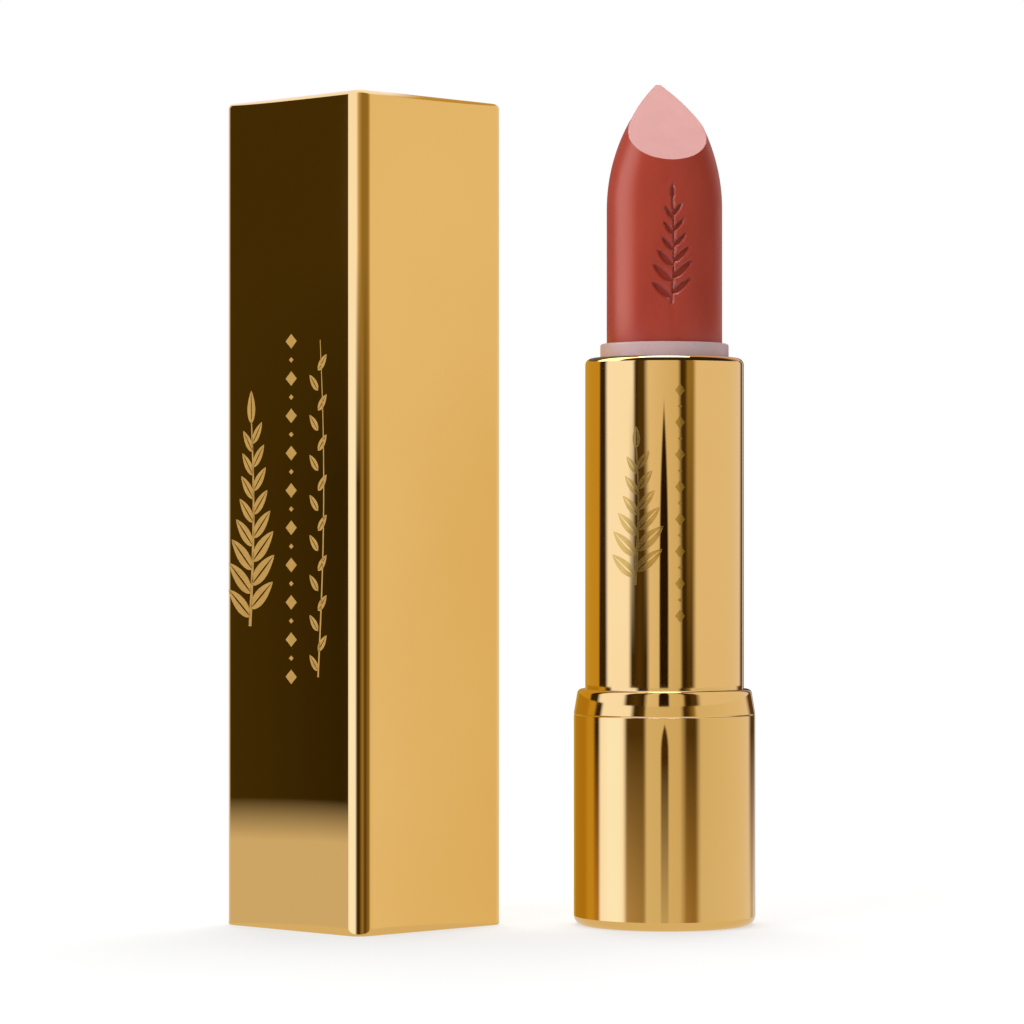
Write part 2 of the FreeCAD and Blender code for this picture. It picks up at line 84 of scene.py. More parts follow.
def start_piece(name):
    """Names the primitive that was just added and opens it for editing, with all of it selected."""
    piece = bpy.context.active_object
    piece.name = name
    piece.data.name = name
    bpy.ops.object.transform_apply(location=True, rotation=True, scale=True)
    bpy.ops.object.mode_set(mode="EDIT")
    bpy.ops.mesh.select_mode(type="VERT")
    bpy.ops.mesh.select_all(action="SELECT")
    return piece


def select_faces(piece, wanted):
    """In edit mode, selects the faces for which wanted(centre, normal) is true."""
    bpy.ops.mesh.select_all(action="DESELECT")
    bpy.ops.object.mode_set(mode="OBJECT")
    for face in piece.data.polygons:
        face.select = wanted(face.center, face.normal)
    bpy.ops.object.mode_set(mode="EDIT")
    bpy.ops.mesh.select_mode(type="FACE")


def select_edges(piece, wanted):
    """In edit mode, selects the edges whose two ends both satisfy wanted(end)."""
    bpy.ops.mesh.select_mode(type="EDGE")
    bpy.ops.mesh.select_all(action="DESELECT")
    bpy.ops.object.mode_set(mode="OBJECT")
    points = piece.data.vertices
    for edge in piece.data.edges:
        edge.select = all(wanted(points[i].co) for i in edge.vertices)
    bpy.ops.object.mode_set(mode="EDIT")


def finish_piece(piece, body, slot, material, *replaced, angle=30):
    """Closes editing, puts the piece's place into its mesh, smooths it and ties it to the frame."""
    bpy.ops.object.mode_set(mode="OBJECT")
    bpy.ops.object.select_all(action="DESELECT")
    piece.select_set(True)
    bpy.context.view_layer.objects.active = piece
    bpy.ops.object.transform_apply(location=True, rotation=True, scale=True)
    bpy.ops.object.shade_smooth_by_angle(angle=math.radians(angle))
    weighted = piece.modifiers.new("even faces", "WEIGHTED_NORMAL")
    weighted.keep_sharp = True
    weighted.weight = 80
    bpy.ops.object.modifier_apply(modifier=weighted.name)
    piece.data.materials.clear()
    piece.data.materials.append(material)
    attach(piece, body)
    if replaced:
        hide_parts(*replaced)


def turned_piece(name, outline, steps=192):
    """A piece turned about Z: its (radius, height) outline is drawn point by point and spun round."""
    bpy.ops.object.select_all(action="DESELECT")
    bpy.ops.mesh.primitive_plane_add(size=MM, location=(0, 0, 0))
    piece = start_piece(name)
    bpy.ops.mesh.merge(type="CENTER")
    bpy.ops.transform.translate(value=(outline[0][0], 0, outline[0][1]))
    for (r0, z0), (r1, z1) in zip(outline, outline[1:] + outline[:1]):
        bpy.ops.mesh.extrude_vertices_move(TRANSFORM_OT_translate={"value": (r1 - r0, 0, z1 - z0)})
    bpy.ops.mesh.select_all(action="SELECT")
    bpy.ops.mesh.remove_doubles(threshold=1e-7)
    bpy.ops.mesh.select_all(action="SELECT")
    bpy.ops.mesh.spin(steps=steps, angle=2 * math.pi, center=(0, 0, 0), axis=(0, 0, 1))
    bpy.ops.mesh.select_all(action="SELECT")
    bpy.ops.mesh.remove_doubles(threshold=1e-7)
    bpy.ops.mesh.delete_loose(use_verts=False, use_edges=True, use_faces=False)
    bpy.ops.mesh.select_all(action="SELECT")
    bpy.ops.mesh.normals_make_consistent(inside=False)
    return piece


def arc(centre_r, centre_z, radius, from_degrees, to_degrees, count=8):
    """Points of a rounded corner in a turned outline."""
    points = []
    for i in range(count + 1):
        turn = math.radians(from_degrees + (to_degrees - from_degrees) * i / count)
        points.append((centre_r + radius * math.cos(turn), centre_z + radius * math.sin(turn)))
    return points


def new_material(name):
    """A material with a Principled shader, returned with its nodes, its links and that shader."""
    material = bpy.data.materials.new(name)
    material.use_nodes = True
    shader = material.node_tree.nodes["Principled BSDF"]
    return material, material.node_tree.nodes, material.node_tree.links, shader


def noise_on(tree_nodes, links, scale, detail=4.0, stretch=(1, 1, 1)):
    """Noise in the piece's own space; scale is in lumps a metre and stretch draws it out along an axis."""
    place = tree_nodes.new("ShaderNodeTexCoord")
    mapping = tree_nodes.new("ShaderNodeMapping")
    mapping.inputs["Scale"].default_value = stretch
    noise = tree_nodes.new("ShaderNodeTexNoise")
    noise.inputs["Scale"].default_value = scale
    noise.inputs["Detail"].default_value = detail
    links.new(place.outputs["Object"], mapping.inputs["Vector"])
    links.new(mapping.outputs["Vector"], noise.inputs["Vector"])
    return noise


def spread(tree_nodes, links, noise, low, high):
    """Maps the middle of a noise to the range low to high."""
    remap = tree_nodes.new("ShaderNodeMapRange")
    remap.inputs["From Min"].default_value = 0.3
    remap.inputs["From Max"].default_value = 0.7
    remap.inputs["To Min"].default_value = low
    remap.inputs["To Max"].default_value = high
    links.new(noise.outputs["Fac"], remap.inputs["Value"])
    return remap.outputs["Result"]


def two_tone(tree_nodes, links, noise, dark, light):
    """A colour that wanders between two near shades."""
    ramp = tree_nodes.new("ShaderNodeValToRGB")
    ramp.color_ramp.elements[0].position = 0.3
    ramp.color_ramp.elements[1].position = 0.7
    ramp.color_ramp.elements[0].color = (*dark, 1)
    ramp.color_ramp.elements[1].color = (*light, 1)
    links.new(noise.outputs["Fac"], ramp.inputs["Fac"])
    return ramp.outputs["Color"]


def bump_on(tree_nodes, links, shader, height, distance):
    """Fine relief, distance deep, where the height socket goes from 0 to 1."""
    bump = tree_nodes.new("ShaderNodeBump")
    bump.inputs["Distance"].default_value = distance
    links.new(height, bump.inputs["Height"])
    links.new(bump.outputs["Normal"], shader.inputs["Normal"])


def gold_anodised():
    """Bright-dipped aluminium, dyed gold: a clear mirror with the faint waviness of drawn sheet."""
    sheet_wave = 0.0012 * MM
    material, tree_nodes, links, shader = new_material("gold_polished")
    cloud = noise_on(tree_nodes, links, 55)
    links.new(two_tone(tree_nodes, links, cloud, (0.915, 0.553, 0.163), (0.935, 0.575, 0.180)),
              shader.inputs["Base Color"])
    haze = noise_on(tree_nodes, links, 240, stretch=(1, 1, 0.25))
    links.new(spread(tree_nodes, links, haze, 0.045, 0.085), shader.inputs["Roughness"])
    sheet = noise_on(tree_nodes, links, 90, detail=1.0, stretch=(1, 1, 0.2))
    bump_on(tree_nodes, links, shader, sheet.outputs["Fac"], sheet_wave)
    shader.inputs["Metallic"].default_value = 1.0
    shader.inputs["Coat Weight"].default_value = 0.15
    shader.inputs["Coat Roughness"].default_value = 0.03
    return material


base_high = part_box("base_shell")[1]
base_radius, base_height = base_high.x, base_high.z
base_wall = 0.45 * MM
foot_round = 1.0 * MM
mouth_break = 0.10 * MM
label_radius, label_recess, label_break = 7.35 * MM, 0.15 * MM, 0.04 * MM
base_outline = (
    [(label_radius, label_recess), (label_radius, label_break), (label_radius + label_break, 0)]
    + arc(base_radius - foot_round, foot_round, foot_round, -90, 0, 14)
    + arc(base_radius - mouth_break, base_height - mouth_break, mouth_break, 0, 90, 4)
    + [(base_radius - base_wall, base_height), (base_radius - base_wall, foot_round)]
    + arc(base_radius - foot_round, foot_round, foot_round - base_wall, 0, -90, 8)
    + [(0, base_wall), (0, label_recess)]
)
polished_gold = gold_anodised()
base_shell = turned_piece("gold_base", base_outline)
finish_piece(base_shell, "base", "base_gold", polished_gold, "base_shell")

# Inside the base: a black moulded core grips the inner tube, and a turned steel slug under it gives the
# base its weight. Both are pressed in. The blank shade label is a printed film in the foot's recess.


def moulded_plastic(name, dark, light, rough_low, rough_high, grain=0.004 * MM):
    """Injection-moulded plastic: a nearly even colour with a fine spark-eroded grain."""
    material, tree_nodes, links, shader = new_material(name)
    cloud = noise_on(tree_nodes, links, 180)
    links.new(two_tone(tree_nodes, links, cloud, dark, light), shader.inputs["Base Color"])
    fine = noise_on(tree_nodes, links, 5200, detail=2.0)
    links.new(spread(tree_nodes, links, fine, rough_low, rough_high), shader.inputs["Roughness"])
    bump_on(tree_nodes, links, shader, fine.outputs["Fac"], grain)
    return material


def turned_steel(name, colour, ring_scale):
    """Bright steel with tool or die marks that run round it."""
    mark_depth = 0.004 * MM
    material, tree_nodes, links, shader = new_material(name)
    marks = noise_on(tree_nodes, links, ring_scale, detail=3.0, stretch=(0.05, 0.05, 1))
    darker = tuple(0.82 * value for value in colour)
    links.new(two_tone(tree_nodes, links, marks, darker, colour), shader.inputs["Base Color"])
    links.new(spread(tree_nodes, links, marks, 0.22, 0.34), shader.inputs["Roughness"])
    bump_on(tree_nodes, links, shader, marks.outputs["Fac"], mark_depth)
    shader.inputs["Metallic"].default_value = 1.0
    return material


def dress(node, material):
    """Gives a piece of the frame its finish."""
    piece = nodes[node]
    piece.data.materials.clear()
    piece.data.materials.append(material)


black_moulding = moulded_plastic("black_moulding", (0.012, 0.012, 0.013), (0.020, 0.019, 0.019), 0.38, 0.52)
dress("base_core", black_moulding)
dress("base_weight", turned_steel("turned_slug", (0.56, 0.57, 0.59), 2600))
label_film = moulded_plastic("label_film", (0.46, 0.150, 0.110), (0.49, 0.165, 0.122), 0.30, 0.36,
                             grain=0.001 * MM)
dress("shade_label", label_film)

# Inner tube: pale pinkish plastic, moulded in one with the neck ring that shows above the gold.
# Two straight slots, open at the foot, guide the cup's lugs; a snap bead near the foot locks it in the
# core. A rubber ring stretched over the tube drags in the cam, so that the stick stays where it is turned to.
tube_low, tube_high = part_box("slotted_inner_tube")
cup_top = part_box("bullet_cup")[1].z
tube_radius, tube_bore = 7.03 * MM, 6.53 * MM
neck_radius, neck_bore = 6.72 * MM, 6.20 * MM
neck_round, neck_break = 0.22 * MM, 0.1 * MM
bead_height, bead_radius = tube_low.z + 3.0 * MM, 0.15 * MM
ledge = cup_top + 0.10 * MM
tube_shoulder = ledge + 0.45 * MM
slot_width, slot_length, slot_top, slot_round = 1.8 * MM, 60 * MM, 51.0 * MM, 0.3 * MM
slot_middle = (0, 0, slot_top - slot_length / 2)
through_tube = 20 * MM
tube_outline = (
    [(tube_bore, tube_low.z), (tube_radius, tube_low.z)]
    + arc(tube_radius, bead_height, bead_radius, -90, 90, 6)
    + [(tube_radius, tube_shoulder), (neck_radius, tube_shoulder)]
    + arc(neck_radius - neck_round, tube_high.z - neck_round, neck_round, 0, 90, 6)
    + arc(neck_bore + neck_break, tube_high.z - neck_break, neck_break, 90, 180, 4)
    + [(neck_bore, ledge), (tube_bore, ledge)]
)
inner_tube = turned_piece("slotted_tube", tube_outline, 160)
bpy.ops.object.mode_set(mode="OBJECT")
bpy.ops.object.select_all(action="DESELECT")
bpy.ops.mesh.primitive_cube_add(size=1, location=slot_middle)
slot_tool = start_piece("slot_tool")
bpy.ops.transform.resize(value=(through_tube, slot_width, slot_length), center_override=slot_middle)
select_edges(slot_tool, lambda end: end.z > slot_top - 1 * MM)
bpy.ops.mesh.bevel(offset=slot_round, segments=3)
bpy.ops.object.mode_set(mode="OBJECT")
bpy.ops.object.select_all(action="DESELECT")
bpy.context.view_layer.objects.active = inner_tube
inner_tube.select_set(True)
slots = inner_tube.modifiers.new("slots", "BOOLEAN")
slots.object = slot_tool
slots.solver = "EXACT"
bpy.ops.object.modifier_apply(modifier=slots.name)
bpy.data.objects.remove(slot_tool)
bpy.ops.object.mode_set(mode="EDIT")
blush_plastic = moulded_plastic("blush_plastic", (0.52, 0.365, 0.375), (0.56, 0.40, 0.405), 0.26, 0.36)
blush_shader = blush_plastic.node_tree.nodes["Principled BSDF"]
blush_shader.inputs["Subsurface Weight"].default_value = 0.12
blush_shader.inputs["Subsurface Scale"].default_value = 0.6 * MM
finish_piece(inner_tube, "base", "neck_plastic", blush_plastic, "slotted_inner_tube")
black_rubber = moulded_plastic("black_rubber", (0.010, 0.010, 0.010), (0.020, 0.020, 0.020), 0.55, 0.75)
dress("friction_ring", black_rubber)

# Colour stick: pomade wax, cast in a metal mould and dusted dry, pressed into its plastic cup.
# The point is a slanted oval face; a sprig is sunk in its front by the mould. The cup carries two lugs.
dress("bullet_cup", moulded_plastic("cup_plastic", (0.66, 0.61, 0.56), (0.72, 0.67, 0.62), 0.28, 0.38))
stick_low, stick_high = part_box("color_bullet")
stick_radius = 6.05 * MM
arch_height, arch_blunt = 13.9 * MM, 0.22 * MM
facet_drop, tip_back = 9.0 * MM, 5.2 * MM
facet_slope = facet_drop / (tip_back + stick_radius)
stick_turn = math.radians(5.2)
shoulder_height = stick_high.z - arch_height + arch_blunt
STEM_SHARE = 0.88  # how far up a sprig its stem goes, before the last leaf


def arch_half_width(below_tip):
    """Half width of the pointed arch that the stick shows from the front, at a depth below its tip."""
    reach = (stick_radius ** 2 + arch_height ** 2) / (2 * stick_radius)
    rise = arch_height - arch_blunt - below_tip
    return math.sqrt(reach ** 2 - rise ** 2) - (reach - stick_radius)


def stem_bow(share, height):
    """Sideways place of the stem at a share of its height."""
    return 0.022 * height * math.sin(math.pi * share)


def leaf_layout(pairs, height, half_width):
    """The sprig's leaves as (foot x, foot y, angle, length, width), on a gently bowed stem from y=0 up."""
    leaves = []
    for i in range(pairs):
        share = (i + 0.4) / (pairs + 0.8)
        foot_y = share * height * STEM_SHARE
        fullness = 0.82 + 0.18 * math.sin(math.pi * min(1, 2.2 * share))
        length = half_width * 1.45 * (1 - 0.45 * share) * fullness
        for side in (-1, 1):
            angle = math.radians(90 - side * (52 - 22 * share))
            leaves.append((stem_bow(share * STEM_SHARE, height), foot_y + (side > 0) * height * 0.035, angle,
                           length, length * 0.36))
    leaves.append((stem_bow(STEM_SHARE, height), height * 0.86, math.radians(90), height * 0.14,
                   height * 0.05))
    return leaves


def leaf_depth(x, y, leaf):
    """0 outside the leaf, rising to 1 along its middle."""
    foot_x, foot_y, angle, length, width = leaf
    along = (x - foot_x) * math.cos(angle) + (y - foot_y) * math.sin(angle)
    across = -(x - foot_x) * math.sin(angle) + (y - foot_y) * math.cos(angle)
    if not 0 < along < length:
        return 0.0
    half = 0.5 * width * math.sin(math.pi * (along / length) ** 0.8) ** 0.8
    if half <= 0 or abs(across) >= half:
        return 0.0
    return min(1.0, 2.2 * (1 - abs(across) / half)) * min(1.0, half / (0.25 * width))


bpy.ops.object.select_all(action="DESELECT")
bpy.ops.mesh.primitive_circle_add(vertices=288, radius=stick_radius, fill_type="NGON",
                                  location=(0, 0, stick_low.z))
stick = start_piece("pomade_stick")
sprig_foot, sprig_height, sprig_margin = 64.6 * MM, 12.6 * MM, 0.4 * MM
groove_half, press_depth = 0.20 * MM, 0.38 * MM
plain_rows, sprig_rows, point_rows = 6, 110, 60
row_tops = [stick_low.z + (sprig_foot - stick_low.z) * (i + 1) / plain_rows for i in range(plain_rows)]
row_tops += [sprig_foot + (sprig_height + sprig_margin) * (i + 1) / sprig_rows for i in range(sprig_rows)]
last = row_tops[-1]
row_tops += [last + (stick_high.z - last) * (i + 1) / point_rows for i in range(point_rows)]


def oval_width(height):
    """Half width of the oval at that height, before the slanted face is cut."""
    below_tip = stick_high.z - height
    if height <= shoulder_height:
        return stick_radius
    facet_y = max(0.0, tip_back - below_tip / facet_slope)
    return arch_half_width(below_tip) / math.sqrt(1 - (facet_y / stick_radius) ** 2)


bpy.ops.mesh.select_all(action="SELECT")
was = stick_low.z
for top in row_tops:
    bpy.ops.mesh.extrude_region_move(TRANSFORM_OT_translate={"value": (0, 0, top - was)})
    narrower = oval_width(top) / oval_width(was)
    if narrower < 0.99999:
        bpy.ops.transform.resize(value=(narrower, 1, 1), center_override=(0, 0, top))
    was = top
bpy.ops.mesh.select_all(action="SELECT")
facet_normal = Vector((0, -facet_slope, 1)).normalized()
bpy.ops.mesh.bisect(plane_co=(0, tip_back, stick_high.z), plane_no=facet_normal,
                    use_fill=True, clear_outer=True, threshold=1e-6)
bpy.ops.object.mode_set(mode="OBJECT")


def sprig_weight(point):
    """How deep the mould's sprig sinks the wax at a point of the front, from 0 to 1."""
    if point.y > 0 or not sprig_foot < point.z < sprig_foot + sprig_height:
        return 0.0
    around = stick_radius * math.atan2(point.x, -point.y)
    up = point.z - sprig_foot
    share = up / sprig_height
    stem = abs(around - stem_bow(share, sprig_height))
    deep = max(0.0, 1 - stem / groove_half) if share < 0.9 else 0.0
    for leaf in sprig_leaves:
        deep = max(deep, leaf_depth(around, up, leaf))
    return deep


sprig_leaves = leaf_layout(6, sprig_height, 2.25 * MM)
sunk = stick.vertex_groups.new(name="sprig")
depths = [sprig_weight(vertex.co) for vertex in stick.data.vertices]
for i, deep in enumerate(depths):
    if deep > 0:
        sunk.add([i], deep, "REPLACE")
# the press depths are kept as an attribute, which paints shade into the sprig's grooves
stick.data.attributes.new("pressed", "FLOAT", "POINT")
stick.data.attributes["pressed"].data.foreach_set("value", depths)
press = stick.modifiers.new("sprig pressed in", "DISPLACE")
press.vertex_group = "sprig"
press.mid_level = 0.0
press.strength = -press_depth
bpy.ops.object.modifier_apply(modifier=press.name)
bpy.ops.object.mode_set(mode="EDIT")
bpy.ops.mesh.select_all(action="SELECT")
bpy.ops.transform.rotate(value=-stick_turn, orient_axis="Z", center_override=(0, 0, 0))
bpy.ops.mesh.remove_doubles(threshold=2e-6)


def pomade_wax():
    """Matte wax with a powdery grain and faint mould streaks; it lets a little light pass through."""
    material, tree_nodes, links, shader = new_material("pomade_wax")
    cloud = noise_on(tree_nodes, links, 420, stretch=(1, 1, 0.35))
    # painted shade: where the sprig is pressed in, the wax's colour is multiplied darker, as if its grooves
    # lay in shade
    groove_shade_mask = tree_nodes.new("ShaderNodeAttribute")
    groove_shade_mask.attribute_name = "pressed"
    darker = tree_nodes.new("ShaderNodeMix")
    darker.data_type, darker.blend_type = "RGBA", "MULTIPLY"
    darker.inputs["B"].default_value = (0.74, 0.58, 0.50, 1)
    links.new(groove_shade_mask.outputs["Fac"], darker.inputs["Factor"])
    red = two_tone(tree_nodes, links, cloud, (0.345, 0.036, 0.0165), (0.380, 0.043, 0.020))
    links.new(red, darker.inputs["A"])
    links.new(darker.outputs["Result"], shader.inputs["Base Color"])
    powder = noise_on(tree_nodes, links, 7000, detail=3.0)
    links.new(spread(tree_nodes, links, powder, 0.32, 0.44), shader.inputs["Roughness"])
    bump_on(tree_nodes, links, shader, powder.outputs["Fac"], 0.010 * MM)
    # wax never keeps a sharp edge
    soft_edges = tree_nodes.new("ShaderNodeBevel")
    soft_edges.samples = 6
    soft_edges.inputs["Radius"].default_value = 0.10 * MM
    links.new(soft_edges.outputs["Normal"], tree_nodes["Bump"].inputs["Normal"])
    shader.inputs["Subsurface Weight"].default_value = 0.10
    shader.inputs["Subsurface Radius"].default_value = (1.0, 0.35, 0.2)
    shader.inputs["Subsurface Scale"].default_value = 0.3 * MM
    shader.inputs["Specular IOR Level"].default_value = 0.48
    shader.inputs["Sheen Weight"].default_value = 0.02
    shader.inputs["Sheen Roughness"].default_value = 0.4
    return material


finish_piece(stick, "cup", "pomade", pomade_wax(), "color_bullet", angle=40)

# Cam and gold sleeve: the cam is a white moulding with two helical grooves, and the polished gold sleeve is
# pressed over it. The sleeve's top is drawn in to a small round shoulder around the neck. A sprig and a row
# of lozenges are etched satin on its front.
dress("cam_sleeve", moulded_plastic("cam_plastic", (0.70, 0.68, 0.62), (0.76, 0.74, 0.68), 0.30, 0.42))
sleeve_low, sleeve_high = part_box("outer_sleeve")
sleeve_radius = sleeve_high.x
sleeve_wall, sleeve_round, sleeve_break = 0.35 * MM, 0.7 * MM, 0.08 * MM
sleeve_hole = neck_radius + 0.08 * MM
sleeve_outline = (
    [(sleeve_radius - sleeve_wall, sleeve_low.z), (sleeve_radius, sleeve_low.z)]
    + arc(sleeve_radius - sleeve_round, sleeve_high.z - sleeve_round, sleeve_round, 0, 90, 12)
    + arc(sleeve_hole + sleeve_break, sleeve_high.z - sleeve_break, sleeve_break, 90, 180, 3)
    + [(sleeve_hole, sleeve_high.z - sleeve_wall)]
    + arc(sleeve_radius - sleeve_round, sleeve_high.z - sleeve_round, sleeve_round - sleeve_wall, 90, 0, 6)
)
gold_sleeve = turned_piece("gold_sleeve", sleeve_outline, 256)
finish_piece(gold_sleeve, "sleeve", "sleeve_gold", polished_gold, "outer_sleeve")


def satin_gold(name, dark, light, rough, metal=1.0):
    """Gold that has been etched, or hot-stamped as a lacquered foil: a fine satin scatter."""
    material, tree_nodes, links, shader = new_material(name)
    cloud = noise_on(tree_nodes, links, 900)
    links.new(two_tone(tree_nodes, links, cloud, dark, light), shader.inputs["Base Color"])
    grain = noise_on(tree_nodes, links, 9000, detail=2.0)
    links.new(spread(tree_nodes, links, grain, rough - 0.05, rough + 0.05), shader.inputs["Roughness"])
    bump_on(tree_nodes, links, shader, grain.outputs["Fac"], 0.0015 * MM)
    shader.inputs["Metallic"].default_value = metal
    return material


made_flat = []


def add_leaf(leaf, points=14):
    """One flat leaf in the XY plane, with a slit along its midrib left open as two halves."""
    foot_x, foot_y, angle, length, width = leaf
    for side in (-1, 1):
        bpy.ops.mesh.primitive_circle_add(vertices=2 * points, radius=1, fill_type="NGON",
                                          location=(0, 0, 0))
        half = bpy.context.active_object
        for i, vertex in enumerate(half.data.vertices):
            inner = i >= points
            along = (i % points) / (points - 1)
            if inner:
                along = 1 - along
            belly = 0.5 * width * math.sin(math.pi * along ** 0.8) ** 0.8 if 0 < along < 1 else 0.0
            x, y = along * length, side * (0.13 * belly if inner else belly)
            vertex.co = (foot_x + x * math.cos(angle) - y * math.sin(angle),
                         foot_y + x * math.sin(angle) + y * math.cos(angle), 0)
        made_flat.append(half)


def add_stem(height, width):
    """The bowed stem, a thin tapering strip."""
    steps = 24
    bpy.ops.mesh.primitive_circle_add(vertices=2 * steps, radius=1, fill_type="NGON", location=(0, 0, 0))
    stem = bpy.context.active_object
    for i, vertex in enumerate(stem.data.vertices):
        share = (i if i < steps else 2 * steps - 1 - i) / (steps - 1)
        side = -1 if i < steps else 1
        half = 0.5 * width * (1 - 0.6 * share)
        vertex.co = (stem_bow(share * STEM_SHARE, height) + side * half, share * STEM_SHARE * height, 0)
    made_flat.append(stem)


def add_lozenge(x, y, width, height):
    """A flat lozenge, cut into small squares so that it can follow a round surface."""
    bpy.ops.mesh.primitive_grid_add(x_subdivisions=5, y_subdivisions=5, size=1, location=(0, 0, 0))
    lozenge = bpy.context.active_object
    for vertex in lozenge.data.vertices:
        u, v, _ = vertex.co
        vertex.co = (x + 0.5 * (u - v) * width, y + 0.5 * (u + v) * height, 0)
    made_flat.append(lozenge)


def joined_foil(name, thickness):
    """Joins the flat shapes made so far into one thin foil, its underside on the XY plane."""
    bpy.ops.object.select_all(action="DESELECT")
    for shape in made_flat:
        shape.select_set(True)
    bpy.context.view_layer.objects.active = made_flat[0]
    bpy.ops.object.join()
    foil = start_piece(name)
    made_flat.clear()
    bpy.ops.mesh.select_all(action="SELECT")
    bpy.ops.mesh.normals_make_consistent(inside=False)
    bpy.ops.mesh.quads_convert_to_tris(quad_method="BEAUTY", ngon_method="BEAUTY")
    bpy.ops.mesh.extrude_region_move(TRANSFORM_OT_translate={"value": (0, 0, thickness)})
    bpy.ops.mesh.select_all(action="SELECT")
    bpy.ops.mesh.normals_make_consistent(inside=False)
    bpy.ops.object.mode_set(mode="OBJECT")
    return foil


def wrap(foil, radius, azimuth, foot):
    """Rolls a flat foil onto an upright cylinder about Z; azimuth 0 is the front, positive to the right."""
    for vertex in foil.data.vertices:
        x, y, out = vertex.co
        turn = azimuth + x / radius
        reach = radius + out
        vertex.co = (reach * math.sin(turn), -reach * math.cos(turn), foot + y)


etch_depth = 0.018 * MM
etch_radius = sleeve_radius - 0.004 * MM
etched_gold = satin_gold("etched_gold", (0.68, 0.39, 0.075), (0.76, 0.44, 0.095), 0.30)
sleeve_sprig_height = 16.4 * MM
for leaf in leaf_layout(6, sleeve_sprig_height, 2.9 * MM):
    add_leaf(leaf)
add_stem(sleeve_sprig_height, 0.32 * MM)
sleeve_sprig = joined_foil("etched_sprig", etch_depth)
wrap(sleeve_sprig, etch_radius, math.radians(-23.5), 35.6 * MM)
bpy.ops.object.mode_set(mode="EDIT")
finish_piece(sleeve_sprig, "sleeve", "sleeve_gold", etched_gold, angle=20)
bead_count, bead_pitch = 15, 1.66 * MM
for i in range(bead_count):
    tall = i % 2 == 0
    add_lozenge(0, (i + 0.5) * bead_pitch, (1.05 if tall else 0.5) * MM, (1.35 if tall else 0.5) * MM)
sleeve_beads = joined_foil("etched_beads", etch_depth)
wrap(sleeve_beads, etch_radius, math.radians(9.0), 31.6 * MM)
bpy.ops.object.mode_set(mode="EDIT")
finish_piece(sleeve_beads, "sleeve", "sleeve_gold", etched_gold, angle=20)

# Collar: a gold ring pressed into the base's mouth, tapering in to a round shoulder.
# It traps the cam's flange, and the sleeve turns inside it with a fine gap.
collar_low, collar_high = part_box("shoulder_collar")
collar_bore = sleeve_radius + 0.12 * MM
collar_inset, collar_round, collar_break = 0.35 * MM, 0.5 * MM, 0.12 * MM
skirt_radius = base_radius - base_wall - 0.02 * MM
collar_top_radius = base_radius - collar_inset
collar_foot = base_height + 0.02 * MM
collar_outline = (
    [(collar_bore, collar_low.z), (skirt_radius, collar_low.z), (skirt_radius, collar_foot),
     (base_radius - mouth_break, collar_foot), (base_radius, collar_foot + mouth_break)]
    + arc(collar_top_radius - collar_round, collar_high.z - collar_round, collar_round, 4, 90, 10)
    + arc(collar_bore + collar_break, collar_high.z - collar_break, collar_break, 90, 180, 4)
)
collar = turned_piece("gold_collar", collar_outline, 256)
finish_piece(collar, "base", "collar_gold", polished_gold, "shoulder_collar")

# Case inside: a black plastic liner guides the lipstick and holds the ejector's housing in the closed end.
# The ejector is a satin black carriage with a soft grip ring, a steel spring, and a bent-wire latch pin with
# its clip.
dress("case_liner", black_moulding)
for node, finish, dark, light, rough_low, rough_high in (
        ("latch_housing", "housing_plastic", (0.030, 0.030, 0.032), (0.042, 0.041, 0.041), 0.40, 0.52),
        ("housing_cap", "cap_plastic", (0.034, 0.034, 0.036), (0.046, 0.045, 0.045), 0.36, 0.48),
        ("ejector_carriage", "carriage_plastic", (0.050, 0.049, 0.048), (0.064, 0.063, 0.062), 0.25, 0.35),
        ("grip_ring", "grip_rubber", (0.105, 0.100, 0.095), (0.130, 0.125, 0.118), 0.60, 0.78)):
    dress(node, moulded_plastic(finish, dark, light, rough_low, rough_high))
dress("latch_pin", turned_steel("pin_wire", (0.62, 0.62, 0.64), 4200))
dress("pin_clip", turned_steel("clip_leaf", (0.58, 0.59, 0.61), 3000))

# Ejector spring: stainless wire wound in ten turns between the carriage's web and the housing cap.
# The real spring shortens as the lipstick is pushed in; this coil is wound at one length.
spring_low, spring_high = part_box("ejector_spring")
wire_radius, spring_turns = 0.30 * MM, 10
spring_radius = (spring_high.x - spring_low.x) / 2 - wire_radius
spring_foot, spring_top = spring_low.z + wire_radius, spring_high.z - wire_radius
bpy.ops.object.select_all(action="DESELECT")
bpy.ops.mesh.primitive_circle_add(vertices=14, radius=wire_radius, rotation=(math.pi / 2, 0, 0),
                                  location=(spring_radius, 0, spring_foot))
coil = start_piece("coil_spring")
bpy.ops.object.mode_set(mode="OBJECT")
winding = coil.modifiers.new("winding", "SCREW")
winding.axis = "Z"
winding.angle = 2 * math.pi
winding.steps = winding.render_steps = 48
winding.iterations = spring_turns
winding.screw_offset = (spring_top - spring_foot) / spring_turns
bpy.ops.object.modifier_apply(modifier=winding.name)
bpy.ops.object.mode_set(mode="EDIT")
bpy.ops.mesh.select_all(action="SELECT")
bpy.ops.mesh.remove_doubles(threshold=1e-7)
bpy.ops.mesh.select_mode(type="EDGE")
bpy.ops.mesh.select_all(action="DESELECT")
bpy.ops.mesh.select_non_manifold()
bpy.ops.mesh.edge_face_add()
bpy.ops.mesh.select_all(action="SELECT")
bpy.ops.transform.translate(value=((spring_low.x + spring_high.x) / 2, 0, 0))
bpy.ops.mesh.normals_make_consistent(inside=False)
spring_wire = turned_steel("spring_wire", (0.60, 0.61, 0.63), 5200)
finish_piece(coil, "case", "spring_steel", spring_wire, "ejector_spring")
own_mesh(coil)

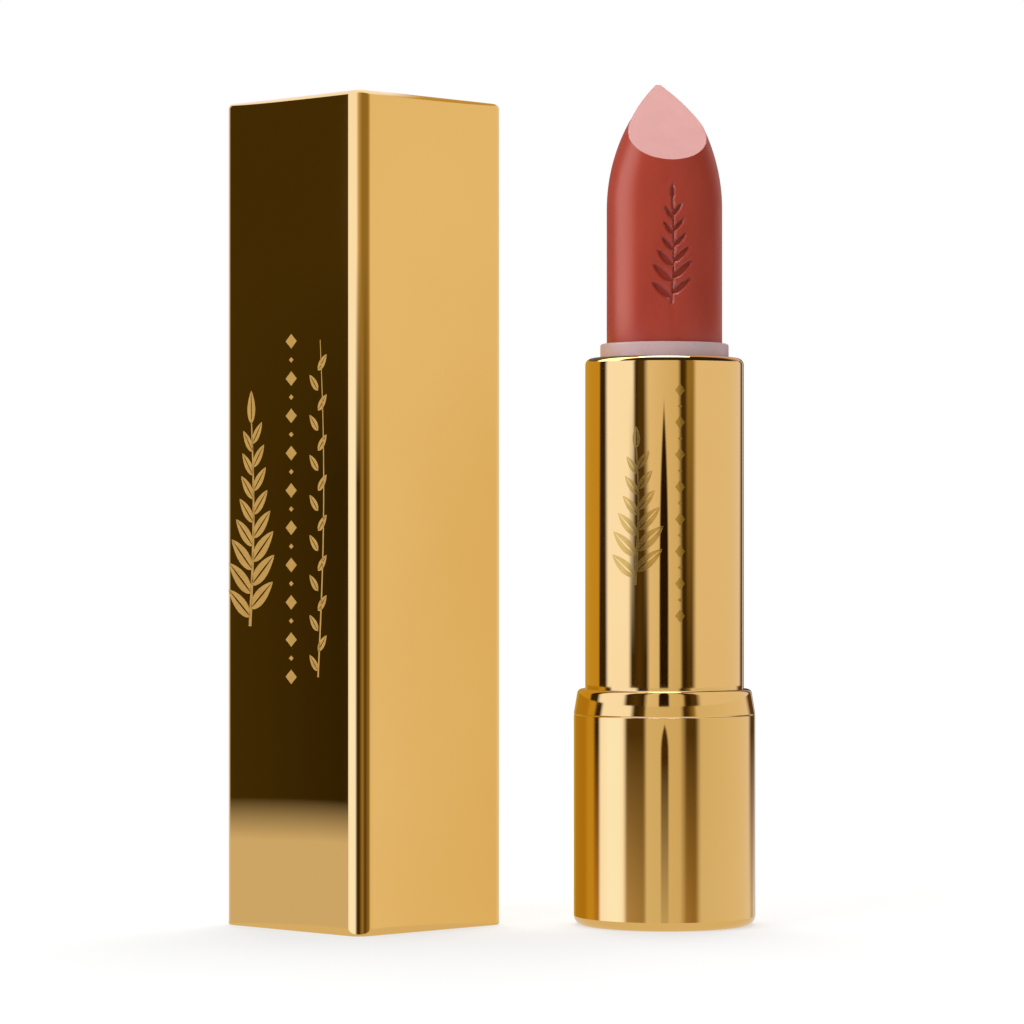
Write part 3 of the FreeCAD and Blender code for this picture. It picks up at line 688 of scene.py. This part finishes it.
# Case shell: a square gold sleeve of drawn aluminium with round upright edges, a closed, softly edged top
# and an open mouth with a small round rim. A foil sprig and two foil borders are hot-stamped on its left
# face.
shell_low, shell_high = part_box("case_shell")
case_axis = Vector(((shell_low.x + shell_high.x) / 2, 0, 0))
case_corner, case_edge, case_wall = 1.6 * MM, 0.55 * MM, 0.4 * MM
case_reach = (shell_high.x - shell_low.x) / 2
case_half = (case_reach + case_corner * (math.sqrt(2) - 1)) / math.sqrt(2)
case_top_thick, mouth_round = 0.45 * MM, 0.20 * MM
bpy.ops.object.select_all(action="DESELECT")
bpy.ops.mesh.primitive_cube_add(size=1, location=(0, 0, shell_high.z / 2), scale=(1, 1, shell_high.z))
case_shell = start_piece("gold_case")
bpy.ops.transform.resize(value=(2 * case_half, 2 * case_half, 1), center_override=(0, 0, 0))
bpy.ops.mesh.select_mode(type="EDGE")
bpy.ops.mesh.select_all(action="DESELECT")
bpy.ops.object.mode_set(mode="OBJECT")
for edge in case_shell.data.edges:
    ends = [case_shell.data.vertices[i].co for i in edge.vertices]
    edge.select = abs(ends[0].z - ends[1].z) > 10 * MM
bpy.ops.object.mode_set(mode="EDIT")
bpy.ops.mesh.bevel(offset=case_corner, segments=20, profile=0.5)
select_edges(case_shell, lambda end: end.z > shell_high.z - 1e-6)
bpy.ops.mesh.bevel(offset=case_edge, segments=8, profile=0.5)
select_faces(case_shell, lambda centre, normal: normal.z < -0.9)
bpy.ops.mesh.inset(thickness=case_wall)
bpy.ops.mesh.extrude_region_move(TRANSFORM_OT_translate={"value": (0, 0, shell_high.z - case_top_thick)})


def on_outer_rim(end):
    """Whether a point lies on the mouth's outer edge, straight or round."""
    past_x, past_y = (max(0, abs(part) - (case_half - case_corner)) for part in (end.x, end.y))
    return end.z < 1e-7 and math.hypot(past_x, past_y) > case_corner - 0.05 * MM


select_edges(case_shell, on_outer_rim)
bpy.ops.mesh.bevel(offset=mouth_round, segments=5, profile=0.5)
bpy.ops.mesh.select_all(action="SELECT")
bpy.ops.mesh.normals_make_consistent(inside=False)
bpy.ops.transform.rotate(value=math.radians(45), orient_axis="Z", center_override=(0, 0, 0))
bpy.ops.transform.translate(value=case_axis)
finish_piece(case_shell, "case", "case_gold", polished_gold, "case_shell", angle=35)

stamped_gold = satin_gold("stamped_foil", (0.60, 0.345, 0.085), (0.66, 0.385, 0.10), 0.42, metal=0.25)


def stamp_on_case(foil, across, foot):
    """Stands a flat foil on the left face; across goes from the face's middle towards the near edge."""
    face_turn = Matrix.Rotation(math.radians(-45), 4, "Z")
    upright = Matrix.Rotation(math.radians(90), 4, "X")
    on_face = Matrix.Translation((across, -case_half, foot))
    foil.data.transform(Matrix.Translation(case_axis) @ face_turn @ on_face @ upright)
    bpy.ops.object.mode_set(mode="EDIT")
    finish_piece(foil, "case", "case_gold", stamped_gold, angle=20)


foil_thick = 0.015 * MM
case_sprig_height, vine_height = 24.5 * MM, 34.5 * MM
border_pitch, vine_pitch = 1.92 * MM, 2.05 * MM
for leaf in leaf_layout(8, case_sprig_height, 3.6 * MM):
    add_leaf(leaf)
add_stem(case_sprig_height, 0.42 * MM)
stamp_on_case(joined_foil("foil_sprig", foil_thick), -6.1 * MM, 31.3 * MM)
for i in range(19):
    tall = i % 2 == 0
    add_lozenge(0, (i + 0.5) * border_pitch, (1.7 if tall else 0.7) * MM, (1.5 if tall else 0.55) * MM)
stamp_on_case(joined_foil("foil_beads", foil_thick), 0.3 * MM, 25.2 * MM)
for i in range(16):
    side = 1 if i % 2 else -1
    angle = math.radians(90 - side * 38)
    add_leaf((0, (i + 0.3) * vine_pitch, angle, 2.1 * MM, 0.85 * MM), points=8)
add_stem(vine_height / STEM_SHARE, 0.22 * MM)
stamp_on_case(joined_foil("foil_vine", foil_thick), 4.4 * MM, 26.2 * MM)

# Reflector cards: rings of glowing card that only the polished gold and the wax's sheen mirror, so that their
# painted strips are painted reflections on the gold and a painted highlight on the wax. Each ring stands
# close round one part of the object. Its inside is painted in upright strips, pale, tan, amber and dark, and
# rays that come from outside it pass through, so that every part has its own cards.
CARD_SCALE = 0.3  # ramps hold colours up to 1, so a card is painted this much darker and lit as much brighter
cards = []


def sum_of(tree_nodes, links, operation, first, second=0.0):
    """A Math node; each input is a number or a socket."""
    node = tree_nodes.new("ShaderNodeMath")
    node.operation = operation
    for socket, value in zip(node.inputs, (first, second)):
        if isinstance(value, (int, float)):
            socket.default_value = value
        else:
            links.new(value, socket)
    return node.outputs["Value"]


def ranged(tree_nodes, links, value, from_low, from_high, to_low, to_high, smooth=False):
    """Maps the socket's from_low to to_low and its from_high to to_high."""
    node = tree_nodes.new("ShaderNodeMapRange")
    node.interpolation_type = "SMOOTHSTEP" if smooth else "LINEAR"
    links.new(value, node.inputs["Value"])
    for name, number in (("From Min", from_low), ("From Max", from_high),
                         ("To Min", to_low), ("To Max", to_high)):
        node.inputs[name].default_value = number
    return node.outputs["Result"]


def mix_colour(tree_nodes, links, share, first, second):
    """first where share is 0, second where it is 1; second is a socket or a plain colour."""
    mix = tree_nodes.new("ShaderNodeMix")
    mix.data_type = "RGBA"
    links.new(share, mix.inputs["Factor"])
    links.new(first, mix.inputs["A"])
    if isinstance(second, tuple):
        mix.inputs["B"].default_value = (*(CARD_SCALE * part for part in second), 1)
    else:
        links.new(second, mix.inputs["B"])
    return mix.outputs["Result"]


def strip_ramp(tree_nodes, links, turn, stops):
    """Strips round a ring, as (degrees, colour) with even change between; the front is 0, the right 90."""
    ramp = tree_nodes.new("ShaderNodeValToRGB")
    links.new(ranged(tree_nodes, links, turn, -180, 180, 0, 1), ramp.inputs["Fac"])
    elements = ramp.color_ramp.elements
    elements.remove(elements[1])
    elements[0].position = (stops[0][0] + 180) / 360
    for degrees, _ in stops[1:]:
        elements.new((degrees + 180) / 360)
    for element, (degrees, colour) in zip(elements, stops):
        element.color = (*(CARD_SCALE * part for part in colour), 1)
    return ramp.outputs["Color"]


def card_ring(name, centre, radius, foot, top, levels, wedge=None, lid=False):
    """A ring of card from foot to top; levels are (height, stops) from the lowest up, blended in between.

    A wedge is (degrees, half its width, height where it starts to narrow, height of its point, how blunt it
    is, colour, its strength at the ring's foot).
    """
    bpy.ops.object.select_all(action="DESELECT")
    bpy.ops.mesh.primitive_cylinder_add(vertices=256, radius=radius, depth=top - foot,
                                        end_fill_type="NGON" if lid else "NOTHING",
                                        location=(centre.x, centre.y, (foot + top) / 2))
    ring = bpy.context.active_object
    ring.name = name
    if lid:
        bpy.ops.object.mode_set(mode="EDIT")
        select_faces(ring, lambda centre, normal: normal.z < -0.9)
        bpy.ops.mesh.delete(type="FACE")
        bpy.ops.object.mode_set(mode="OBJECT")
    bpy.ops.object.shade_smooth_by_angle(angle=math.radians(30))
    material = bpy.data.materials.new(name + "_paint")
    material.use_nodes = True
    material.cycles.emission_sampling = "NONE"
    tree_nodes, links = material.node_tree.nodes, material.node_tree.links
    tree_nodes.clear()
    place = tree_nodes.new("ShaderNodeTexCoord")
    parts = tree_nodes.new("ShaderNodeSeparateXYZ")
    links.new(place.outputs["Object"], parts.inputs["Vector"])
    back = sum_of(tree_nodes, links, "MULTIPLY", parts.outputs["Y"], -1.0)
    turn = sum_of(tree_nodes, links, "MULTIPLY",
                  sum_of(tree_nodes, links, "ARCTAN2", parts.outputs["X"], back), 180 / math.pi)
    height = sum_of(tree_nodes, links, "ADD", parts.outputs["Z"], (foot + top) / 2)
    paint = strip_ramp(tree_nodes, links, turn, levels[0][1])
    for (low, _), (high, stops) in zip(levels, levels[1:]):
        share = ranged(tree_nodes, links, height, low, high, 0, 1)
        paint = mix_colour(tree_nodes, links, share, paint, strip_ramp(tree_nodes, links, turn, stops))
    if wedge:
        middle, half, wedge_foot, point, blunt, colour, foot_share = wedge
        risen = ranged(tree_nodes, links, height, wedge_foot, point, 0, 1)
        narrowed = sum_of(tree_nodes, links, "POWER", risen, blunt)
        reach = ranged(tree_nodes, links, narrowed, 0, 1, half, -1.5)
        off = sum_of(tree_nodes, links, "ABSOLUTE", sum_of(tree_nodes, links, "SUBTRACT", turn, middle))
        within = sum_of(tree_nodes, links, "SUBTRACT", reach, off)
        inside = ranged(tree_nodes, links, within, -0.8, 1.2, 0, 1, smooth=True)
        strength = ranged(tree_nodes, links, height, foot, wedge_foot, foot_share, 1.0)
        inside = sum_of(tree_nodes, links, "MULTIPLY", inside, strength)
        paint = mix_colour(tree_nodes, links, inside, paint, colour)
    light = tree_nodes.new("ShaderNodeEmission")
    light.inputs["Strength"].default_value = 1 / CARD_SCALE
    links.new(paint, light.inputs["Color"])
    side = tree_nodes.new("ShaderNodeNewGeometry")
    path = tree_nodes.new("ShaderNodeLightPath")
    passed = sum_of(tree_nodes, links, "GREATER_THAN", path.outputs["Transparent Depth"], 0.5)
    clear = sum_of(tree_nodes, links, "MAXIMUM", passed,
                   sum_of(tree_nodes, links, "SUBTRACT", 1.0, side.outputs["Backfacing"]))
    card = tree_nodes.new("ShaderNodeMixShader")
    links.new(clear, card.inputs["Fac"])
    links.new(light.outputs["Emission"], card.inputs[1])
    links.new(tree_nodes.new("ShaderNodeBsdfTransparent").outputs["BSDF"], card.inputs[2])
    links.new(card.outputs["Shader"], tree_nodes.new("ShaderNodeOutputMaterial").inputs["Surface"])
    ring.data.materials.append(material)
    ring.visible_camera = ring.visible_diffuse = ring.visible_transmission = ring.visible_shadow = False
    cards.append(ring)


pale, cream = (1.04, 1.23, 2.05), (1.06, 1.36, 2.40)
tan, sand, honey = (0.80, 0.80, 0.88), (0.68, 0.65, 0.58), (0.71, 0.71, 0.70)
amber, deep_amber, red_edge = (0.57, 0.38, 0.05), (0.44, 0.26, 0.02), (0.11, 0.05, 0.01)
dark, umber, brown = (0.036, 0.022, 0.004), (0.08, 0.052, 0.014), (0.30, 0.23, 0.084)
left_back = [(-180, pale), (-163, pale), (-158, umber), (-150, deep_amber), (-124, amber)]
right_back = [(124, tan), (129, red_edge), (157, umber), (161, tan), (168, pale), (180, pale)]
sleeve_top = left_back + [
    (-117, amber), (-84, amber), (-82, dark), (-74, dark), (-69, pale), (-36, pale), (-33, dark),
    (-28, umber), (-24, umber), (-19, tan), (12, sand), (15, dark), (20, umber), (22, brown), (28, brown),
    (32, tan), (107, tan), (115, red_edge), (119, red_edge)] + right_back
sleeve_foot = left_back + [
    (-117, amber), (-86, amber), (-83, dark), (-73, dark), (-68, pale), (-41, pale), (-37, dark),
    (-28, umber), (-21, dark), (-17, tan), (14, sand), (17, dark), (21, dark), (23, umber), (27, umber),
    (32, tan), (105, tan), (113, red_edge), (119, red_edge)] + right_back
collar_strips = left_back + [
    (-117, deep_amber), (-88, deep_amber), (-82, amber), (-75, amber), (-71, dark), (-66, dark),
    (-62, pale), (-33, pale), (-29, dark), (-20, umber), (-18, honey), (12, sand), (15, dark), (19, umber),
    (24, brown), (27, honey), (94, tan), (104, red_edge), (119, umber)] + right_back
base_top = left_back + [
    (-117, deep_amber), (-90, deep_amber), (-82, amber), (-75, amber), (-71, dark), (-67, dark),
    (-64, pale), (-54, cream), (-43, cream), (-39, pale), (-35, umber), (-20, umber), (-17, honey),
    (11, sand), (17, umber), (25, umber), (30, honey), (94, tan), (103, umber), (119, umber)] + right_back
base_foot = left_back + [
    (-117, deep_amber), (-90, deep_amber), (-82, amber), (-75, amber), (-71, (0.48, 0.27, 0.04)),
    (-67, (0.44, 0.26, 0.06)), (-64, pale), (-54, cream), (-43, cream), (-39, pale),
    (-35, (0.44, 0.36, 0.26)), (-20, (0.36, 0.29, 0.18)), (-17, honey), (11, sand),
    (17, (0.34, 0.25, 0.12)), (25, (0.30, 0.21, 0.085)), (30, honey), (97, tan),
    (107, (0.50, 0.43, 0.34)), (119, honey)] + right_back
# the stick's card: its bright strip on the left glows as a painted highlight on the wax, and the rest is dark
wax_grey, wax_highlight_strip, wax_dark = (0.1, 0.1, 0.1), (3.3, 3.2, 3.1), (0.04, 0.03, 0.03)
stick_strips = [
    (-180, (0.2, 0.2, 0.2)), (-96, wax_grey), (-90, wax_highlight_strip), (-60, wax_highlight_strip), (-52, wax_dark),
    (90, (0.02, 0.02, 0.02)), (120, (0.7, 0.5, 0.45)), (180, (0.3, 0.2, 0.2))]
axis, ring_radius = Vector((0, 0, 0)), 14.8 * MM
base_split, collar_split = collar_low.z + 3.35 * MM, collar_high.z + 0.10 * MM
sleeve_split, stick_cards_top = 62 * MM, 100 * MM
card_ring("base_cards", axis, ring_radius, 0, base_split, [(1.5 * MM, base_foot), (20 * MM, base_top)],
          wedge=(-1.9, 3.4, 17.5 * MM, 21.6 * MM, 3.0, (0.06, 0.03, 0.005), 0.22))
card_ring("collar_cards", axis, ring_radius, base_split, collar_split, [(base_split, collar_strips)])
card_ring("sleeve_cards", axis, ring_radius, collar_split, sleeve_split,
          [(28 * MM, sleeve_foot), (57 * MM, sleeve_top)],
          wedge=(-2.6, 4.8, 25.0 * MM, 56.8 * MM, 4.0, (0.020, 0.010, 0.001), 1.0))
card_ring("stick_cards", axis, ring_radius, sleeve_split, stick_cards_top, [(sleeve_split, stick_strips)])

case_dark, case_black = (0.057, 0.041, 0.006), (0.031, 0.022, 0.003)
case_foot, case_tan, case_sand = (0.65, 0.65, 0.69), (0.83, 0.81, 0.78), (0.78, 0.73, 0.60)
lid_brown = (0.55, 0.42, 0.16)
case_back = [(92, case_tan), (130, case_tan), (142, (0.45, 0.33, 0.14)), (150, case_tan), (176, case_tan),
             (179, brown)]
case_left = [(-179, brown), (-146, brown), (-140, case_tan), (-96, case_tan), (-92, case_dark)]
case_top_strips = case_left + [
    (-35.2, case_dark), (-32.5, pale), (-4, pale), (-1, (0.60, 0.50, 0.36)), (4, brown), (16, brown),
    (26, (0.52, 0.47, 0.26)), (33, case_tan), (88, case_tan)] + case_back
case_right = [
    (-31, pale), (-16, cream), (-6, cream), (-3.5, umber), (-0.5, dark), (1, umber), (3.5, brown),
    (6, brown), (9, umber), (15, (0.22, 0.15, 0.05)), (24, brown), (34, case_tan), (88, case_sand)
    ] + case_back
case_mid_strips = case_left + [(-35.2, case_black)] + case_right
case_foot_strips = case_left[:-1] + [(-92, case_foot), (-35.2, case_foot)] + case_right
case_lid_strips = [(-180, tan), (-150, pale), (30, pale), (55, lid_brown), (150, lid_brown), (180, tan)]
case_ring_radius = 16.6 * MM
lid_height, lifted_top = shell_high.z + 3 * MM, 190 * MM
card_ring("case_cards", case_axis, case_ring_radius, 0, lid_height,
          [(8.8 * MM, case_foot_strips), (13.2 * MM, case_mid_strips), (46 * MM, case_mid_strips),
           (70 * MM, case_top_strips), (lid_height - 0.3 * MM, case_top_strips),
           (lid_height - 0.1 * MM, case_lid_strips)], lid=True)
card_ring("lifted_case_cards", case_axis, case_ring_radius, lid_height, lifted_top,
          [(lid_height, case_top_strips)])

# Studio: a white floor that runs out to plain white and keeps a soft shadow near the object, a white room,
# and three soft lamps. Gold sees the floor as a warm pale card.
floor_size = 6
shadow_reach, shadow_end = 60 * MM, 300 * MM
bpy.ops.object.select_all(action="DESELECT")
bpy.ops.mesh.primitive_plane_add(size=floor_size, location=(0, 0, 0))
floor = start_piece("floor")
bpy.ops.mesh.subdivide(number_cuts=4)
bpy.ops.object.mode_set(mode="OBJECT")
floor_material, floor_nodes, floor_links, floor_shader = new_material("floor_paint")
floor_shader.inputs["Roughness"].default_value = 0.9
floor_shader.inputs["Specular IOR Level"].default_value = 0.0
floor_cloud = noise_on(floor_nodes, floor_links, 12)
floor_links.new(two_tone(floor_nodes, floor_links, floor_cloud, (0.90, 0.90, 0.90), (0.92, 0.92, 0.92)),
                floor_shader.inputs["Base Color"])
floor_path = floor_nodes.new("ShaderNodeLightPath")
white_card = floor_nodes.new("ShaderNodeEmission")
floor_place = floor_nodes.new("ShaderNodeTexCoord")
floor_reach = floor_nodes.new("ShaderNodeVectorMath")
floor_reach.operation = "LENGTH"
floor_links.new(floor_place.outputs["Object"], floor_reach.inputs[0])
lit_share = ranged(floor_nodes, floor_links, floor_reach.outputs["Value"], shadow_reach, shadow_end,
                   0.55, 1.0, smooth=True)
to_white = sum_of(floor_nodes, floor_links, "MULTIPLY", lit_share, floor_path.outputs["Is Camera Ray"])
seen = floor_nodes.new("ShaderNodeMixShader")
floor_links.new(to_white, seen.inputs["Fac"])
floor_links.new(floor_shader.outputs["BSDF"], seen.inputs[1])
floor_links.new(white_card.outputs["Emission"], seen.inputs[2])
# for glossy rays the floor glows an even warm pale, a painted reflection in the gold without the floor's
# shadow
mirrored = floor_nodes.new("ShaderNodeEmission")
mirrored.inputs["Color"].default_value = (0.72, 0.70, 0.66, 1)
floor_out = floor_nodes.new("ShaderNodeMixShader")
floor_links.new(floor_path.outputs["Is Glossy Ray"], floor_out.inputs["Fac"])
floor_links.new(seen.outputs["Shader"], floor_out.inputs[1])
floor_links.new(mirrored.outputs["Emission"], floor_out.inputs[2])
floor_links.new(floor_out.outputs["Shader"], floor_nodes["Material Output"].inputs["Surface"])
floor_material.cycles.emission_sampling = "NONE"
floor.data.materials.append(floor_material)

world = bpy.data.worlds.new("white_room")
bpy.context.scene.world = world
world.use_nodes = True
room_nodes, room_links = world.node_tree.nodes, world.node_tree.links
room_path = room_nodes.new("ShaderNodeLightPath")
mirror_or_glass = sum_of(room_nodes, room_links, "MAXIMUM", room_path.outputs["Is Glossy Ray"],
                         room_path.outputs["Is Transmission Ray"])
shows_white = sum_of(room_nodes, room_links, "MAXIMUM", room_path.outputs["Is Camera Ray"], mirror_or_glass)
room_strength = ranged(room_nodes, room_links, shows_white, 0, 1, 0.46, 1.0)
room_links.new(room_strength, room_nodes["Background"].inputs["Strength"])
room_nodes["Background"].inputs["Color"].default_value = (1, 1, 1, 1)


def soft_lamp(name, location, aim, size, watts, mirrored_too):
    """A square softbox that points at aim."""
    bpy.ops.object.light_add(type="AREA", location=location)
    lamp = bpy.context.active_object
    lamp.name = name
    lamp.data.size = size
    lamp.data.energy = watts
    lamp.rotation_euler = (Vector(aim) - Vector(location)).to_track_quat("-Z", "Y").to_euler()
    lamp.visible_camera = False
    lamp.visible_glossy = mirrored_too


soft_lamp("key", (-0.42, -0.40, 0.30), (0, 0, 0.05), 0.40, 1.9, False)
soft_lamp("fill", (0.45, -0.45, 0.20), (0, 0, 0.05), 0.50, 0.5, False)
soft_lamp("overhead", (0.0, 0.18, 0.46), (0, 0, 0.08), 0.32, 1.7, True)

# Camera: a long lens, level, straight in front of the lipstick.
camera_distance, camera_height, camera_side = 0.430, 0.0384, -0.01598
camera_data = bpy.data.cameras.new("camera")
camera = bpy.data.objects.new("camera", camera_data)
bpy.context.scene.collection.objects.link(camera)
camera.location = (camera_side, -camera_distance, camera_height)
camera.rotation_euler = (math.pi / 2, 0, 0)
camera_data.lens, camera_data.sensor_width = 144.2, 36
camera_data.shift_y = 46 / 1024
camera_data.clip_start = 0.01
bpy.context.scene.camera = camera
bpy.context.scene.view_settings.view_transform = "Standard"

# gold mirrors the cards and the floor, not its neighbours
for piece in list(bpy.data.objects):
    if piece.type == "MESH" and piece not in (*cards, floor):
        piece.visible_glossy = False
